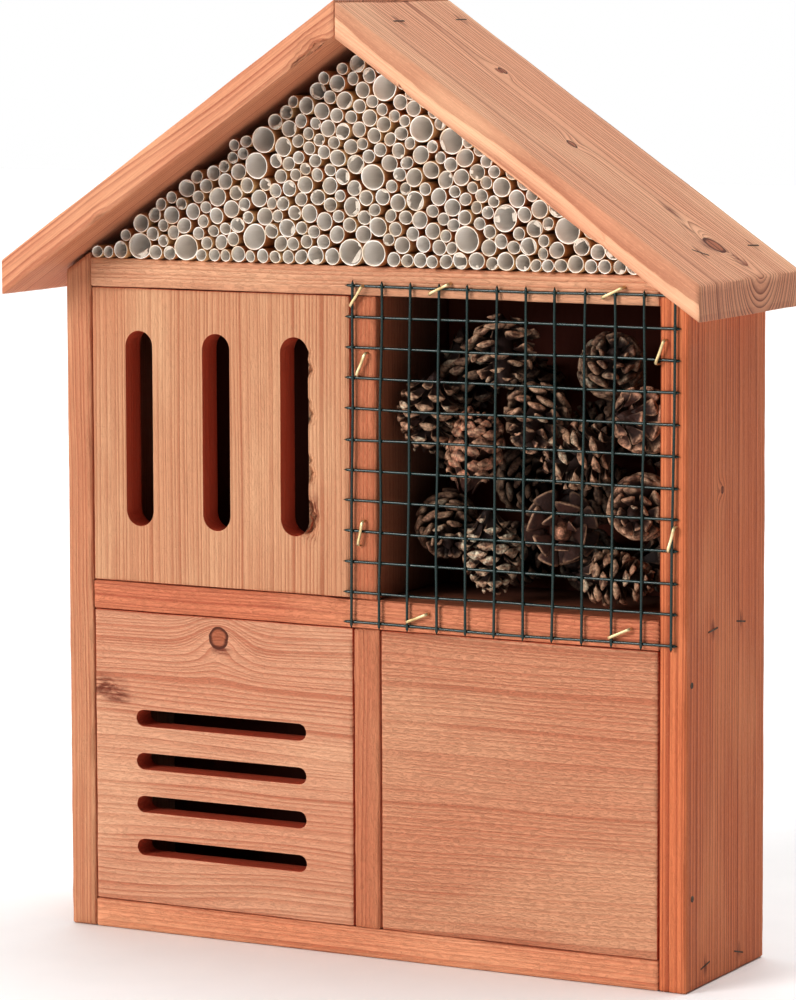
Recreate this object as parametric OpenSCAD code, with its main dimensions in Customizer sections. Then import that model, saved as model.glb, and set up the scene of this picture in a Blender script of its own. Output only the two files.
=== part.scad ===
// Insect hotel: a small gabled timber house for solitary bees, butterflies, lacewings and beetles.
// Millimetres, +Z up, the front looks along -Y. The origin is under the middle of the house.

/* [Body] */
// Width of the body over the side boards
body_w = 285; // [270:1:300]
// Depth of the body, front to back
body_depth = 76; // [74:0.5:86]
// Thickness of every board
board_t = 12; // [11:0.5:13]
// Clear height of each of the two storeys
storey_h = 123.3; // [121:0.1:130]
// How far the upper post stands left of the middle
upper_post_shift = 1; // [0:0.5:3]
// Rounding of the long edges of the boards
edge_r = 0.8; // [0.4:0.1:1.5]

/* [Roof] */
// Pitch of both roof boards, in degrees
roof_pitch = 34.2; // [33:0.1:36]
// Level reach of each roof board from the ridge
roof_half_span = 158.5; // [154:0.5:170]
// Width of the roof boards, front to back
roof_depth = 98; // [96:0.5:99]
// How far the roof stands out in front of the body
roof_overhang = 24.5; // [22:0.5:26]
// Clear height of the gable under the ridge
gable_h = 91.7; // [91:0.1:93]
// How far the left roof board stands above the right one
ridge_step = 1; // [0:0.1:1.5]

/* [Front panels] */
// Gap left around each front panel
panel_gap = 0.5; // [0.3:0.1:1]
// Width of a butterfly slot
butterfly_slot_w = 13; // [10:0.5:16]
// Length of a butterfly slot
butterfly_slot_len = 81.5; // [60:0.5:90]
// Spacing of the butterfly slots
butterfly_pitch = 37; // [30:0.5:38]
// Height of a lacewing slot
lacewing_slot_h = 7; // [6:0.5:9]
// Length of a lacewing slot
lacewing_slot_len = 81.5; // [60:0.5:90]
// Spacing of the lacewing slots
lacewing_pitch = 18.2; // [14:0.1:19]

/* [Wire mesh] */
// Diameter of a coated wire
wire_d = 1.1; // [0.8:0.1:1.5]
// Spacing of the upright wires
mesh_pitch_x = 12.95; // [12.5:0.05:13.1]
// Spacing of the crosswires
mesh_pitch_z = 12.45; // [12.2:0.05:12.6]
// Number of wires each way
mesh_count = 12; // [12:12]
// How far the mesh leans out of upright, in degrees
mesh_lean = 0.65; // [0:0.05:0.8]

/* [Reeds] */
// Smallest reed diameter
reed_min_d = 5.2; // [5:0.1:6]
// Largest diameter of the ordinary reeds
reed_max_d = 8.2; // [7.6:0.1:9]
// Diameter of the wide canes
cane_d = 11; // [10:0.5:12]
// Seed that mixes the reed sizes
reed_seed = 3; // [1:1:9]

/* [Back] */
// Thickness of the back panel
back_t = 8; // [7:0.5:9]
// How far the back panel lies in from the back edges of the sides
back_recess = 4; // [4:0.5:6]
// Diameter of the hole in the hanger plate
hanger_hole_d = 6; // [5:0.5:7]

/* [Hidden] */
$fn = 48;

// Front and back planes. The roof front and the body back are equally far from the origin.
front_y = -(body_depth - roof_overhang) / 2;
back_y = front_y + body_depth;
roof_front_y = front_y - roof_overhang;
roof_back_y = roof_front_y + roof_depth;
back_panel_y = back_y - back_recess;
divider_back_y = back_panel_y - back_t;

// Levels of the boards, and the plumb thickness of the roof.
inner_x = body_w / 2 - board_t;
shelf_z = board_t + storey_h;
upper_floor_z = shelf_z + board_t;
gable_floor_z = upper_floor_z + storey_h;
reed_floor_z = gable_floor_z + board_t;
inner_apex_z = reed_floor_z + gable_h;
roof_plumb_t = board_t / cos(roof_pitch);
side_gap = 0.4;
past = 60;

// Height of the underside of the right roof board at a distance x from the ridge.
function underside(x) = inner_apex_z - tan(roof_pitch) * abs(x);

// A board's section with its four long edges eased, from [0, 0] to [w, h].
module eased_section(w, h, r = edge_r) {
    translate([r, 0]) square([w - 2 * r, h]);
    translate([0, r]) square([w, h - 2 * r]);
    for (x = [r, w - r], y = [r, h - r])
        translate([x, y]) circle(r = r);
}

// Carries a drawing in X and Z along Y.
module along_y(y0, y1) {
    translate([0, y1, 0]) rotate([90, 0, 0]) linear_extrude(y1 - y0) children();
}

// Carries a drawing in Y and Z along X.
module along_x(x0, x1) {
    translate([x0, 0, 0]) rotate([90, 0, 90]) linear_extrude(x1 - x0) children();
}

// The room under the roof boards, less a gap, used to trim what reaches up to them.
module under_roof(gap) {
    far = body_w;
    along_y(roof_front_y - past, back_y + past)
        polygon([[-far, -past], [far, -past], [far, underside(far) - gap], [0, inner_apex_z - gap],
                 [-far, underside(far) - gap]]);
}

// Frame of the body

module side_board(x) {
    color([0.78, 0.47, 0.32])
    intersection() {
        translate([x, front_y, 0]) linear_extrude(inner_apex_z) eased_section(board_t, body_depth);
        under_roof(side_gap);
    }
}

module left_side() {
    side_board(-body_w / 2);
}

module right_side() {
    side_board(inner_x);
}

// A level board between the sides, from its underside height to its back plane.
module level_board(z, y_end) {
    color([0.8, 0.5, 0.34])
    along_x(-inner_x, inner_x)
        translate([front_y, z]) eased_section(y_end - front_y, board_t);
}

module bottom_board() {
    level_board(0, back_y);
}

module middle_shelf() {
    level_board(shelf_z, divider_back_y);
}

module gable_floor() {
    level_board(gable_floor_z, divider_back_y);
}

module post(x, z) {
    color([0.8, 0.49, 0.33])
    translate([x, front_y, z])
        linear_extrude(storey_h) eased_section(board_t, divider_back_y - front_y);
}

module upper_post() {
    post(-board_t / 2 - upper_post_shift, upper_floor_z);
}

module lower_post() {
    post(-board_t / 2, board_t);
}

// Roof: two boards cut plumb at the ridge and at the eaves

module roof_board() {
    intersection() {
        translate([0, 0, inner_apex_z]) rotate([0, roof_pitch, 0])
            along_x(-past, roof_half_span / cos(roof_pitch) + past)
                translate([roof_front_y, 0]) eased_section(roof_depth, board_t);
        translate([0, roof_front_y - 1, 0])
            cube([roof_half_span, roof_depth + 2, inner_apex_z + past]);
    }
}

module left_roof_board() {
    color([0.85, 0.57, 0.4])
    translate([0, 0, ridge_step]) mirror([1, 0, 0]) roof_board();
}

module right_roof_board() {
    color([0.85, 0.57, 0.4]) roof_board();
}

// Back panel, with a blind pocket behind the hole of the hanger plate

hanger_w = 16;
hanger_len = 46;
hanger_t = 1.5;
hanger_top_z = reed_floor_z + 75;
hanger_hole_z = hanger_top_z - hanger_w / 2;
screw_z = [hanger_top_z - 24, hanger_top_z - 38];
pocket_d = 13;
pocket_depth = 6;

module back_panel() {
    gap = 0.3;
    color([0.76, 0.62, 0.44])
    difference() {
        intersection() {
            translate([-inner_x + gap, divider_back_y, board_t + gap])
                cube([2 * (inner_x - gap), back_t, inner_apex_z]);
            under_roof(side_gap);
        }
        translate([0, back_panel_y - pocket_depth, hanger_hole_z]) rotate([-90, 0, 0])
            cylinder(d = pocket_d, h = pocket_depth + 1);
        for (z = screw_z)
            translate([0, back_panel_y - screw_len, z]) rotate([-90, 0, 0])
                cylinder(d = screw_d, h = screw_len + 1);
    }
}

// Front panels, one board thick

post_left_x = -board_t / 2 - upper_post_shift;
upper_panel_x = (-inner_x + post_left_x) / 2;
lower_panel_x = (-inner_x - board_t / 2) / 2;
panel_face_y = front_y + 0.3;
slot_rise = 3;
butterfly_shift = -1.5;
lacewing_drop = 10.6;
lacewing_shift = -1;

module front_panel(x0, x1, z0) {
    translate([0, panel_face_y, z0 + panel_gap / 2])
        translate([x0 + panel_gap, 0, 0]) cube([x1 - x0 - 2 * panel_gap, board_t, storey_h - panel_gap]);
}

// A slot with round ends, cut right through from the front, centred on [x, z].
module slot(x, z, len, wide, upright) {
    turn = upright ? 90 : 0;
    along_y(panel_face_y - 1, panel_face_y + board_t + 1)
        translate([x, z]) rotate(turn) {
            square([len - wide, wide], center = true);
            for (end = [-1, 1])
                translate([end * (len - wide) / 2, 0]) circle(d = wide);
        }
}

module butterfly_panel() {
    middle_z = upper_floor_z + storey_h / 2 + slot_rise;
    color([0.83, 0.53, 0.37])
    difference() {
        front_panel(-inner_x, post_left_x, upper_floor_z);
        for (i = [-1, 0, 1])
            slot(upper_panel_x + butterfly_shift + i * butterfly_pitch, middle_z,
                 butterfly_slot_len, butterfly_slot_w, true);
    }
}

module lacewing_panel() {
    middle_z = board_t + storey_h / 2 - lacewing_drop;
    color([0.82, 0.52, 0.36])
    difference() {
        front_panel(-inner_x, -board_t / 2, board_t);
        for (i = [-1.5, -0.5, 0.5, 1.5])
            slot(lower_panel_x + lacewing_shift, middle_z + i * lacewing_pitch,
                 lacewing_slot_len, lacewing_slot_h, false);
    }
}

module plain_panel() {
    color([0.84, 0.54, 0.37]) front_panel(board_t / 2, inner_x, board_t);
}

// Welded wire mesh over the cone chamber: the uprights lie in front of the crosswires

mesh_left_x = -4.5;
mesh_top_z = gable_floor_z + 4.1;
cross_y = front_y - wire_d / 2 - 0.05;
upright_y = cross_y - wire_d + 0.15;
left_stub = 4.5;
right_stub = 2.5;
end_stub = 2.4;
mesh_h = (mesh_count - 1) * mesh_pitch_z;
mesh_w = (mesh_count - 1) * mesh_pitch_x;

function lean_shift(k) = -k * mesh_pitch_z * tan(mesh_lean);

module mesh_uprights() {
    color([0.06, 0.16, 0.14])
    for (i = [0 : mesh_count - 1])
        translate([mesh_left_x + i * mesh_pitch_x, upright_y, mesh_top_z]) rotate([0, mesh_lean, 0])
            translate([0, 0, -mesh_h - end_stub]) cylinder(d = wire_d, h = mesh_h + 2 * end_stub);
}

module mesh_crosswires() {
    color([0.07, 0.19, 0.16])
    for (k = [0 : mesh_count - 1])
        translate([mesh_left_x + lean_shift(k) - left_stub, cross_y, mesh_top_z - k * mesh_pitch_z])
            rotate([0, 90, 0]) cylinder(d = wire_d, h = mesh_w + left_stub + right_stub);
}

// Staples: a crown of the stated length with two legs, standing on its legs along -Z

staple_wire = 0.6;
mesh_crown = 11;
frame_crown = 9;

module staple(crown, leg) {
    w = staple_wire;
    translate([-crown / 2, -w / 2, 0]) cube([crown, w, w]);
    for (x = [-crown / 2, crown / 2 - w])
        translate([x, -w / 2, -leg]) cube([w, w, leg + w / 2]);
}

// Middle of each mesh staple and its slope in the front plane: [x, z, degrees].
mesh_staple_places = [
    [-3, 270.5, 56], [34.5, 274.5, 25], [111, 275.5, 25], [-1, 243, 66], [131.5, 253, 69],
    [-1.5, 174.5, 78], [136.5, 180, 74], [24, 141.5, 22], [114, 141.5, 24]
];

module mesh_staples() {
    crown_y = upright_y - wire_d / 2;
    color([0.78, 0.68, 0.42])
    for (p = mesh_staple_places)
        translate([p[0], crown_y, p[1]]) rotate([0, -p[2], 0]) rotate([90, 0, 0])
            staple(mesh_crown, 9);
}

// The legs of the roof staples run square to the roof's face.
module roof_staple(y, down_slope, turn, leg) {
    translate([0, 0, inner_apex_z]) rotate([0, roof_pitch, 0])
        translate([down_slope, y, board_t - staple_wire + 0.05]) rotate([0, 0, turn]) staple(frame_crown, leg);
}

// Distance down the slope from the ridge to the middle of a side board.
eave_staple_at = (inner_x + board_t / 2) / cos(roof_pitch);
ridge_staple_at = 6;
eave_leg = 19;
ridge_leg = 13;

module roof_staples() {
    color([0.62, 0.56, 0.5]) {
        for (y = [front_y + 10, front_y + 61])
            roof_staple(y, eave_staple_at, y < 0 ? 60 : 85, eave_leg);
        for (y = [front_y + 14, front_y + 58])
            translate([0, 0, ridge_step]) mirror([1, 0, 0])
                roof_staple(y, eave_staple_at, y < 0 ? 80 : 65, eave_leg);
        for (y = [front_y + 8, front_y + 62])
            roof_staple(y, ridge_staple_at, 90, ridge_leg);
    }
}

// Staples through the sides into the ends of the level boards: [distance from the front, height, turn].
frame_staple_places = [
    [18.5, 8, 10], [51, 7, -14], [25, shelf_z + board_t / 2, 5], [52, shelf_z + board_t / 2, -8],
    [22, gable_floor_z + board_t / 2 - 1, 6], [50, gable_floor_z + board_t / 2 - 1, -5]
];

module frame_staples() {
    color([0.6, 0.55, 0.5])
    for (mirrored = [0, 1])
        mirror([mirrored, 0, 0])
            for (p = frame_staple_places)
                translate([body_w / 2 - staple_wire + 0.05, front_y + p[0], p[1]]) rotate([p[2], 0, 0])
                    rotate([0, 90, 0]) rotate([0, 0, 90]) staple(frame_crown, eave_leg);
}

// Pins through the sides into the edges of the front panels: [side, distance from the front, height].
pin_d = 1.6;
pin_head_d = 2.6;
pin_len = 26;
panel_pin_places = [
    [1, 5, 122], [1, 6, 37], [-1, 6, 120], [-1, 6, 30], [-1, 6, 255], [-1, 6, 165]
];

module panel_pins() {
    color([0.66, 0.63, 0.58])
    for (p = panel_pin_places)
        mirror([p[0] < 0 ? 1 : 0, 0, 0])
            translate([body_w / 2 - pin_len, front_y + p[1], p[2]]) rotate([0, 90, 0]) {
                cylinder(d = pin_d, h = pin_len - 0.5);
                translate([0, 0, pin_len - 0.6]) cylinder(d = pin_head_d, h = 0.6);
            }
}

// Nails through the back panel into the shelf, the gable floor and the posts

nail_d = 1.8;
nail_head_d = 3.6;
nail_len = 20;
nail_head_t = 0.7;

module back_nail(x, z) {
    translate([x, back_panel_y - nail_len, z]) rotate([-90, 0, 0]) {
        cylinder(d = nail_d, h = nail_len);
        translate([0, 0, nail_len]) cylinder(d = nail_head_d, h = nail_head_t);
    }
}

module back_nails() {
    color([0.7, 0.7, 0.68]) {
        for (x = [-110, -40, 40, 110], z = [shelf_z, gable_floor_z])
            back_nail(x, z + board_t / 2);
        back_nail(0, board_t + storey_h / 2);
        back_nail(-upper_post_shift, upper_floor_z + storey_h / 2);
    }
}

// Hanger plate with round ends, screwed to the back panel

screw_d = 3;
screw_len = 7;

module hanger_plate() {
    bottom_z = hanger_top_z - hanger_len + hanger_w / 2;
    color([0.72, 0.73, 0.74])
    difference() {
        along_y(back_panel_y, back_panel_y + hanger_t) {
            translate([-hanger_w / 2, bottom_z]) square([hanger_w, hanger_hole_z - bottom_z]);
            for (z = [bottom_z, hanger_hole_z])
                translate([0, z]) circle(d = hanger_w);
        }
        translate([0, back_panel_y - 1, hanger_hole_z]) rotate([-90, 0, 0])
            cylinder(d = hanger_hole_d, h = hanger_t + 2);
        for (z = screw_z)
            translate([0, back_panel_y - 1, z]) rotate([-90, 0, 0])
                cylinder(d = screw_d, h = hanger_t + 2);
    }
}

// A pan-head screw: a head with a domed face and a cross recess, and a shank in the wood.
module screw() {
    head_r = 2.9;
    head_h = 1.9;
    difference() {
        union() {
            translate([0, 0, -screw_len - hanger_t + 0.2]) cylinder(d = screw_d, h = screw_len + hanger_t);
            rotate_extrude()
                intersection() {
                    translate([0, head_h - 4.4]) circle(r = 4.4);
                    square([head_r, head_h]);
                }
        }
        for (turn = [0, 90])
            rotate(turn) translate([-1.6, -0.35, head_h - 0.9]) cube([3.2, 0.7, 1]);
    }
}

module hanger_screws() {
    color([0.8, 0.8, 0.8])
    for (z = screw_z)
        translate([0, back_panel_y + hanger_t, z]) rotate([-90, 0, 0]) screw();
}

// Reeds: one is laid at a time into the lowest hollow on the top of the pile

reed_gap = 0.06;
roof_clear = 0.3;
reed_wall = 0.12;
reed_bottom = 8;
reed_back_y = divider_back_y - 0.5;
cane_near = 6;
most_reeds = 500;

// Places of the wide canes: [x, height above the gable floor].
cane_spots = [
    [-106, 5.5], [-78, 5.5], [-61, 43], [-49, 41], [-41, 51], [-53, 11], [-3, 6], [9, 6],
    [4, 32], [13, 70], [24, 56], [42, 49], [46, 14], [63, 20], [92, 16]
];

random_pick = rands(0, 1, 900, reed_seed);

// Ordinary reeds are mostly thin, so the random number is squared.
function ordinary_r(n) = (reed_min_d + (reed_max_d - reed_min_d) * pow(random_pick[n], 1.7)) / 2;

function dist(a, b) = norm([a[0] - b[0], a[1] - b[1]]);

// Room between a circle's edge and the roof. Heights are above the gable floor.
function roof_room(x, z, r) = (gable_h - z) * cos(roof_pitch) - abs(x) * sin(roof_pitch) - r;

// Centre of a circle of radius r that rests on circles a and b.
function resting(a, b, r) =
    let (d = dist(a, b), ra = a[2] + r + reed_gap, rb = b[2] + r + reed_gap,
         along = (ra * ra - rb * rb + d * d) / (2 * d), up2 = ra * ra - along * along)
    d > ra + rb || up2 <= 0 ? undef :
    let (up = sqrt(up2), ux = (b[0] - a[0]) / d, uz = (b[1] - a[1]) / d)
    [a[0] + along * ux - up * uz, a[1] + along * uz + up * ux, r];

// Centre of a circle of radius r that touches circle a and the roof. side is -1 or 1 for the left or
// right slope, and way is 1 for the place down the slope from a, or -1 for the one up the slope.
function leaning(a, r, side, way) =
    let (c = cos(roof_pitch), s = sin(roof_pitch), reach = a[2] + r + reed_gap,
         room = roof_room(side * max(0, side * a[0]), a[1], 0) - roof_clear - r,
         slide2 = reach * reach - room * room)
    room < -reach || slide2 <= 0 ? undef :
    let (slide = way * sqrt(slide2))
    [a[0] + side * (s * room + c * slide), a[1] + c * room - s * slide, r];

function clear_of(p, chain, lo, hi) =
    len([for (k = [max(0, lo) : min(len(chain) - 1, hi)])
        if (dist(p, chain[k]) < p[2] + chain[k][2] + reed_gap - 0.001) k]) == 0;

// A place is good when it is under the roof, above the floor and clear of the pile.
function good(p, chain, i) =
    p != undef && p[1] >= p[2] && roof_room(p[0], p[1], p[2]) >= roof_clear - 0.001
    && clear_of(p, chain, i - 6, i + 8);

// All good places for radius r, each with the chain links it lies between.
function places(chain, r) = [
    for (i = [0 : len(chain) - 1], skip = [1 : 5])
        if (i + skip < len(chain))
            let (p = resting(chain[i], chain[i + skip], r))
            if (good(p, chain, i)) [p, i, i + skip],
    for (i = [0 : min(3, len(chain) - 1)], way = [-1, 1])
        let (p = leaning(chain[i], r, -1, way))
        if (good(p, chain, i)) [p, -1, i],
    for (i = [max(0, len(chain) - 4) : len(chain) - 1], way = [-1, 1])
        let (p = leaning(chain[i], r, 1, way))
        if (good(p, chain, i)) [p, i, len(chain)]
];

function lowest_of(list, i = 1, best = 0) =
    i >= len(list) ? best : lowest_of(list, i + 1, list[i][0][1] < list[best][0][1] ? i : best);

// The lowest place that is clear of every reed in the pile, or undef.
function lowest_clear(list, pile) =
    len(list) == 0 ? undef :
    let (best = lowest_of(list))
    clear_of(list[best][0], pile, 0, len(pile)) ? list[best] :
    lowest_clear([for (k = [0 : len(list) - 1]) if (k != best) list[k]], pile);

// The chain with the new reed put in and what it covers taken out.
function relinked(chain, place) = [
    for (k = [0 : 1 : place[1]]) chain[k],
    place[0],
    for (k = [place[2] : 1 : len(chain) - 1]) chain[k]
];

// True when p is near a cane's spot that no wide cane has taken yet.
function near_spot(p, pile) =
    len([for (s = cane_spots)
        if (dist(p, s) < cane_near && len([for (q = pile) if (q[2] == cane_d / 2 && dist(q, s) < 8) 1]) == 0)
        s]) > 0;

function wanted_r(p, pile, n) = near_spot(p, pile) ? cane_d / 2 : ordinary_r(n);

// Lays reeds until none fits. Where the wanted size doesn't fit near the lowest hollow, a thin reed does.
function heap(pile, chain, n) =
    let (first = lowest_clear(places(chain, reed_min_d / 2), pile))
    first == undef || n >= most_reeds ? pile :
    let (r = wanted_r(first[0], pile, n),
         fits = [for (p = places(chain, r)) if (dist(p[0], first[0]) < r + 1) p],
         wanted = lowest_clear(fits, pile), place = wanted == undef ? first : wanted)
    heap(concat(pile, [place[0]]), relinked(chain, place), n + 1);

// The bottom row stands on the gable floor, each reed against the last.
function bottom_row(row, n) =
    let (last = row[len(row) - 1], guess = [last[0] + last[2] + 3, 3],
         r = near_spot([last[0] + last[2] + cane_d / 2, cane_d / 2], row) ? cane_d / 2 : ordinary_r(n),
         dz = last[1] - r - floor_clear, reach = last[2] + r + reed_gap,
         x = last[0] + sqrt(reach * reach - dz * dz), next = [x, r + floor_clear, r])
    roof_room(x, next[1], r) < roof_clear ? row : bottom_row(concat(row, [next]), n + 1);

floor_clear = 0.05;
first_reed_r = reed_min_d / 2;
first_reed = [
    -(gable_h - first_reed_r - floor_clear - (first_reed_r + roof_clear) / cos(roof_pitch)) / tan(roof_pitch),
    first_reed_r + floor_clear, first_reed_r
];

function all_reeds() =
    let (row = bottom_row([first_reed], 0))
    heap(row, row, len(row));

medium_from_d = 6.3;

// A cut cane, open in front and closed by its joint near the back.
module reed(p, n) {
    front = front_y - 1 - 2 * random_pick[n + 200];
    bore_r = p[2] * (1 - 2 * reed_wall);
    translate([p[0], reed_back_y, reed_floor_z + p[1]]) rotate([90, 0, 0])
        difference() {
            cylinder(r = p[2], h = reed_back_y - front);
            translate([0, 0, reed_bottom]) cylinder(r = bore_r, h = reed_back_y - front);
        }
}

module reeds_between(d_from, d_to) {
    pile = all_reeds();
    for (n = [0 : len(pile) - 1])
        if (2 * pile[n][2] >= d_from && 2 * pile[n][2] < d_to)
            reed(pile[n], n);
}

module reeds_thin() {
    color([0.86, 0.8, 0.7]) reeds_between(0, medium_from_d);
}

module reeds_medium() {
    color([0.82, 0.75, 0.64]) reeds_between(medium_from_d, cane_d - 0.5);
}

module reeds_wide() {
    color([0.78, 0.71, 0.6]) reeds_between(cane_d - 0.5, 2 * cane_d);
}

// Pine cones: [x, distance behind the front, height above the shelf, lean of the tip, heading, width, length]

cone_places = [
    [21, 15, 76, 170, 180, 28, 36], [27, 43, 92, 165, 0, 27, 37], [52, 20, 102, 150, -60, 29, 36],
    [43, 14, 60, 15, 0, 23, 37], [65, 24, 75, 130, -90, 28, 34], [93, 37, 96, 60, -60, 28, 36],
    [88, 17, 60, 110, 200, 28, 35], [116, 20, 76, 100, 70, 27, 35], [50, 14, 21, 176, 0, 25, 39],
    [79, 20, 31, 90, -62, 31, 34], [21, 32, 28, 120, -60, 27, 36], [113, 22, 41, 100, -80, 28, 35],
    [103, 18, 13, 92, 5, 24, 36], [45, 48, 16, 90, 10, 27, 36], [79, 47, 15, 90, 70, 26, 32],
    [113, 50, 16, 90, 30, 27, 36], [21, 48, 60, 20, 0, 26, 36], [47, 48, 46, 100, -20, 26, 33],
    [81, 49, 43, 80, 20, 26, 34], [114, 50, 66, 15, 0, 25, 36], [53, 50, 84, 160, 40, 25, 34],
    [84, 50, 69, 75, 200, 24, 32]
];
cone_steps = 14;

// Radius of a closed cone's outline at a share s of its length, widest nearer its base.
function cone_radius(s) = pow(sin(180 * pow(s, 0.78)), 0.75);

module pine_cone(i) {
    p = cone_places[i];
    outline = [for (k = [0 : cone_steps])
        let (s = k / cone_steps)
        [p[5] / 2 * cone_radius(s), p[6] * (s - 0.5)]];
    color([0.36, 0.25, 0.17])
    translate([p[0], front_y + p[1], upper_floor_z + p[2]]) rotate([0, p[3], p[4]])
        rotate_extrude() polygon(outline);
}

left_side();
right_side();
bottom_board();
middle_shelf();
gable_floor();
upper_post();
lower_post();
left_roof_board();
right_roof_board();
back_panel();
butterfly_panel();
lacewing_panel();
plain_panel();
mesh_uprights();
mesh_crosswires();
mesh_staples();
roof_staples();
frame_staples();
panel_pins();
back_nails();
hanger_plate();
hanger_screws();
reeds_thin();
reeds_medium();
reeds_wide();
pine_cone(0);  // pine_cone_01
pine_cone(1);  // pine_cone_02
pine_cone(2);  // pine_cone_03
pine_cone(3);  // pine_cone_04
pine_cone(4);  // pine_cone_05
pine_cone(5);  // pine_cone_06
pine_cone(6);  // pine_cone_07
pine_cone(7);  // pine_cone_08
pine_cone(8);  // pine_cone_09
pine_cone(9);  // pine_cone_10
pine_cone(10);  // pine_cone_11
pine_cone(11);  // pine_cone_12
pine_cone(12);  // pine_cone_13
pine_cone(13);  // pine_cone_14
pine_cone(14);  // pine_cone_15
pine_cone(15);  // pine_cone_16
pine_cone(16);  // pine_cone_17
pine_cone(17);  // pine_cone_18
pine_cone(18);  // pine_cone_19
pine_cone(19);  // pine_cone_20
pine_cone(20);  // pine_cone_21
pine_cone(21);  // pine_cone_22
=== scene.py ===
# %% [markdown]
# # An insect hotel
# A small gabled house of red-brown larch. Bees nest in the cut reeds under the roof, butterflies and
# lacewings go in through slots in two front panels, and beetles live among the pine cones behind a wire
# mesh. The CAD model is loaded first and stays put. It gives every place and every size, and the pieces
# made here stand in for its plain solids.

# %% Load the frame
import bpy
import numpy as np
from math import cos, pi, radians, sin, tan
from mathutils import Matrix, Vector


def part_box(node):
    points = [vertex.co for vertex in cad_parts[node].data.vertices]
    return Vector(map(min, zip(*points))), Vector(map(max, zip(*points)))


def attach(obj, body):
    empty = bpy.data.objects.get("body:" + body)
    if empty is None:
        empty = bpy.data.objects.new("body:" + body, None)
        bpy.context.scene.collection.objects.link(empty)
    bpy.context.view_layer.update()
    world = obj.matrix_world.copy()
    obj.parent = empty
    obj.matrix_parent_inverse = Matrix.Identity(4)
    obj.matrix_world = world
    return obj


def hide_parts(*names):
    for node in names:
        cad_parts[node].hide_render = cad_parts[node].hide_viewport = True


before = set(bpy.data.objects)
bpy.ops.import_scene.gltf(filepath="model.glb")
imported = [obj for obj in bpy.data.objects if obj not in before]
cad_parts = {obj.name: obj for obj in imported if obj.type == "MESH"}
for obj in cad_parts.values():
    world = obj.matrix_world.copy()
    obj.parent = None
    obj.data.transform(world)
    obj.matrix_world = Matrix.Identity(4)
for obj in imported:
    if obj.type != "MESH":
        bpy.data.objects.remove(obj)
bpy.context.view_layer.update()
MM = 0.001


def add_object(name, data):
    """An object in the scene that holds the given mesh, camera or light."""
    made = bpy.data.objects.new(name, data)
    bpy.context.scene.collection.objects.link(made)
    return made


# %% [markdown]
# ## The camera
# The house is seen a little from its right and from just above its middle, with a long lens, so that its
# upright edges stay nearly parallel. The camera looks along `ahead`; `right` and `up` are worked out from
# it and then rolled by a fraction of a degree. A small downward shift of the lens keeps the house in the
# middle of the picture.

# %% Camera
YAW, PITCH, ROLL = radians(28.336), radians(-5.436), radians(-0.193)
CAMERA_PLACE = (0.84284, -1.56094, 0.39923)
ahead = np.array([-sin(YAW) * cos(PITCH), cos(YAW) * cos(PITCH), sin(PITCH)])
level = np.array([cos(YAW), sin(YAW), 0])
lift = np.cross(level, ahead)
right = level * cos(ROLL) + lift * sin(ROLL)
up = -level * sin(ROLL) + lift * cos(ROLL)
camera = add_object("camera", bpy.data.cameras.new("camera"))
turned = Matrix(np.column_stack([right, up, -ahead]).tolist()).to_4x4()
camera.matrix_world = Matrix.Translation(CAMERA_PLACE) @ turned
camera.data.lens = 157.1
camera.data.sensor_width = 36
camera.data.shift_y = -0.11
camera.data.clip_start = 0.05
bpy.context.scene.camera = camera
print("camera at", [round(v, 3) for v in camera.location])

# %% [markdown]
# ## Meshes from arrays
# Nearly everything here is a bundle of closed skins: each is a stack of rings, and each ring has the same
# number of points. A ring whose points all coincide is a pole, and closes the skin like the end of a
# sausage. The whole bundle is one array, so no loop runs over points. A closed mesh has a positive volume
# when its faces point outwards, which is how the turn of the faces is settled.

# %% Mesh helpers
def colour(red, green, blue):
    """A colour given as it looks on a screen, 0 to 255, in the linear values that Blender counts in."""
    screen = np.array([red, green, blue]) / 255
    return (*(((screen + 0.055) / 1.055) ** 2.4), 1.0)


def make_piece(name, points, corners, material, stands_for=(), attributes=None):
    """A smooth mesh from points (n, 3) and faces (m, 4). A corner equal to the next one is dropped, so
    that the squares at a pole become triangles, and points that no face uses are left out."""
    used, corners = np.unique(corners, return_inverse=True)
    corners = corners.reshape(-1, 4)
    points = points[used]
    a, b, c, d = (points[corners[:, k]] for k in range(4))
    volume = np.einsum("ij,ij->i", a, np.cross(b, c) + np.cross(c, d)).sum()
    if volume < 0:
        corners = corners[:, ::-1]
    kept = corners != np.roll(corners, -1, axis=1)
    whole = kept.sum(1) > 2
    totals = kept[whole].sum(1)
    mesh = bpy.data.meshes.new(name)
    mesh.vertices.add(len(points))
    mesh.vertices.foreach_set("co", points.astype(np.float32).ravel())
    mesh.loops.add(int(totals.sum()))
    mesh.loops.foreach_set("vertex_index", corners[whole][kept[whole]].astype(np.int32))
    mesh.polygons.add(len(totals))
    mesh.polygons.foreach_set("loop_start", np.concatenate([[0], np.cumsum(totals)[:-1]]).astype(np.int32))
    mesh.update(calc_edges=True)
    mesh.polygons.foreach_set("use_smooth", np.ones(len(totals), bool))
    for key, values in (attributes or {}).items():
        layer = mesh.attributes.new(key, "FLOAT", "POINT")
        layer.data.foreach_set("value", np.ascontiguousarray(values.ravel()[used], np.float32))
    mesh.validate()
    mesh.materials.append(material)
    piece = add_object(name, mesh)
    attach(piece, "root")
    if stands_for:
        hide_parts(*stands_for)
    print(f"{name}: {len(points)} points, {len(totals)} faces")


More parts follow.
